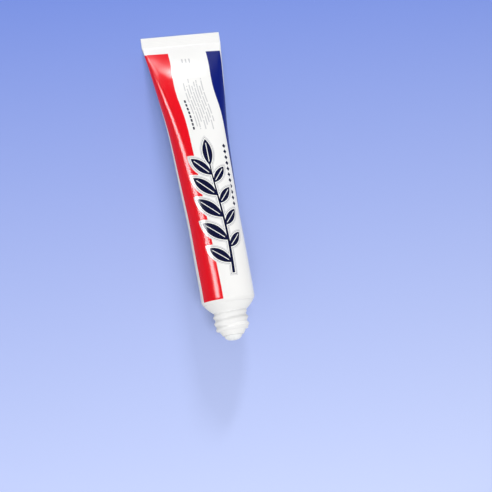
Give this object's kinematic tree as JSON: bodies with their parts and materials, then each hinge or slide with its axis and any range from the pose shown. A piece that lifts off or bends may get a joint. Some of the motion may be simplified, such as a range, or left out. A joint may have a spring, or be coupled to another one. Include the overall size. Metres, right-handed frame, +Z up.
{
  "type": "toothpaste tube",
  "caption": "Open soft laminate toothpaste tube lying on its back, with a flat sealed end, a threaded nozzle and a small bead of paste at the mouth.",
  "frame": {"origin": "on the surface the tube lies on, below the middle of its length and width", "axes": "+Z up out of the printed front; +Y along the tube towards the flat sealed end; the nozzle points to -Y; the red panel is on the -X side and the navy panel on the +X side"},
  "size_m": [0.0464, 0.1798, 0.03],
  "materials": {
    "laminate": "glossy printed laminate, white with a red and a navy panel",
    "moulded_plastic": "satin white moulding",
    "paste": "smooth wet paste"
  },
  "bodies": {
    "root": {"sleeve": "laminate", "shoulder_nozzle": "moulded_plastic", "paste": "paste"}
  },
  "joints": []
}
